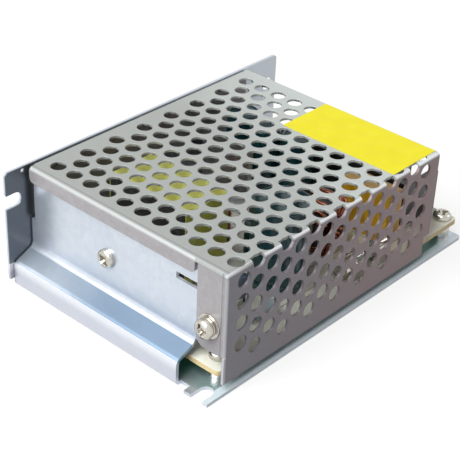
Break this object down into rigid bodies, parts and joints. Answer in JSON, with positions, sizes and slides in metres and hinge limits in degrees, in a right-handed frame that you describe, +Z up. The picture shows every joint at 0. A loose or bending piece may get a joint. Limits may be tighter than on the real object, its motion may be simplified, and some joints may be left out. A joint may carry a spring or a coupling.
{
  "type": "power supply",
  "caption": "Enclosed switching power supply: folded metal chassis with mounting slots, perforated cover, screw terminal block, trimmer and lamp on a circuit board.",
  "frame": {"origin": "centre of the footprint, on the underside of the chassis floor", "axes": "+X along the case towards the terminal block, +Y towards the back wall, +Z up through the cover"},
  "size_m": [0.113, 0.0758, 0.0364],
  "materials": {
    "folded_steel": "bright zinc plate",
    "cover_steel": "bright zinc plate",
    "label_film": "plain yellow film",
    "board_laminate": "bare laminate",
    "nickel": "nickel plate",
    "brass": "turned",
    "pad_film": "grey thermal film",
    "package_black": "moulded epoxy",
    "block_black": "moulded",
    "tinned": "tin plate",
    "trimmer_blue": "moulded",
    "rotor_white": "moulded",
    "lamp_green": "diffused",
    "ferrite": "sintered",
    "bobbin_black": "moulded",
    "tape_yellow": "polyester film",
    "copper_wire": "lacquered copper",
    "can_sleeve": "sleeved can",
    "film_orange": "dipped",
    "disc_blue": "dipped",
    "disc_green": "dipped",
    "fuse_glass": "clear",
    "sink_aluminium": "mill finish",
    "resistor_blue": "coated"
  },
  "bodies": {
    "trimmer_dial": {"trimmer_rotor": "rotor_white"},
    "clamp_1": {"terminal_screw_1": "nickel", "terminal_washer_1": "nickel"},
    "clamp_2": {"terminal_screw_2": "nickel", "terminal_washer_2": "nickel"},
    "clamp_3": {"terminal_screw_3": "nickel", "terminal_washer_3": "nickel"},
    "clamp_4": {"terminal_screw_4": "nickel", "terminal_washer_4": "nickel"},
    "clamp_5": {"terminal_screw_5": "nickel", "terminal_washer_5": "nickel"},
    "supply": {"auxiliary_capacitor": "can_sleeve", "board_screws": "nickel", "board_standoffs": "brass", "bridge_rectifier": "package_black", "bulk_capacitor": "can_sleeve", "chassis": "folded_steel", "circuit_board": "board_laminate", "control_chip": "package_black", "cover": "cover_steel", "cover_flat_washer": "nickel", "cover_screw": "nickel", "cover_spring_washer": "nickel", "feedback_coupler": "package_black", "filter_capacitor": "film_orange", "fuse": "fuse_glass", "fuse_clips": "tinned", "indicator_lamp": "lamp_green", "insulating_pad": "pad_film", "line_choke_core": "ferrite", "line_choke_winding": "copper_wire", "output_capacitors": "can_sleeve", "output_choke_core": "ferrite", "output_choke_winding": "copper_wire", "output_heatsink": "sink_aluminium", "output_rectifier": "package_black", "power_transistor": "package_black", "rectifier_screw": "nickel", "resistors": "resistor_blue", "safety_capacitors": "disc_blue", "snubber_capacitor": "film_orange", "terminal_block": "block_black", "terminal_contacts": "tinned", "thermistor": "disc_green", "top_label": "label_film", "transformer_bobbin": "bobbin_black", "transformer_core": "ferrite", "transformer_tape": "tape_yellow", "transformer_winding": "tape_yellow", "trimmer_body": "trimmer_blue", "wall_nut": "nickel", "wall_screw": "nickel"}
  },
  "joints": [
    {"name": "trimmer_turn", "type": "hinge", "parent": "supply", "child": "trimmer_dial", "pos_m": [0.05405, 0.0274, 0.0102], "axis": [1, 0, 0], "range_deg": [-130, 130]},
    {"name": "clamp_1_lift", "type": "slide", "parent": "supply", "child": "clamp_1", "axis": [0, 0, 1], "range_m": [0, 0.0035]},
    {"name": "clamp_2_lift", "type": "slide", "parent": "supply", "child": "clamp_2", "axis": [0, 0, 1], "range_m": [0, 0.0035]},
    {"name": "clamp_3_lift", "type": "slide", "parent": "supply", "child": "clamp_3", "axis": [0, 0, 1], "range_m": [0, 0.0035]},
    {"name": "clamp_4_lift", "type": "slide", "parent": "supply", "child": "clamp_4", "axis": [0, 0, 1], "range_m": [0, 0.0035]},
    {"name": "clamp_5_lift", "type": "slide", "parent": "supply", "child": "clamp_5", "axis": [0, 0, 1], "range_m": [0, 0.0035]}
  ]
}
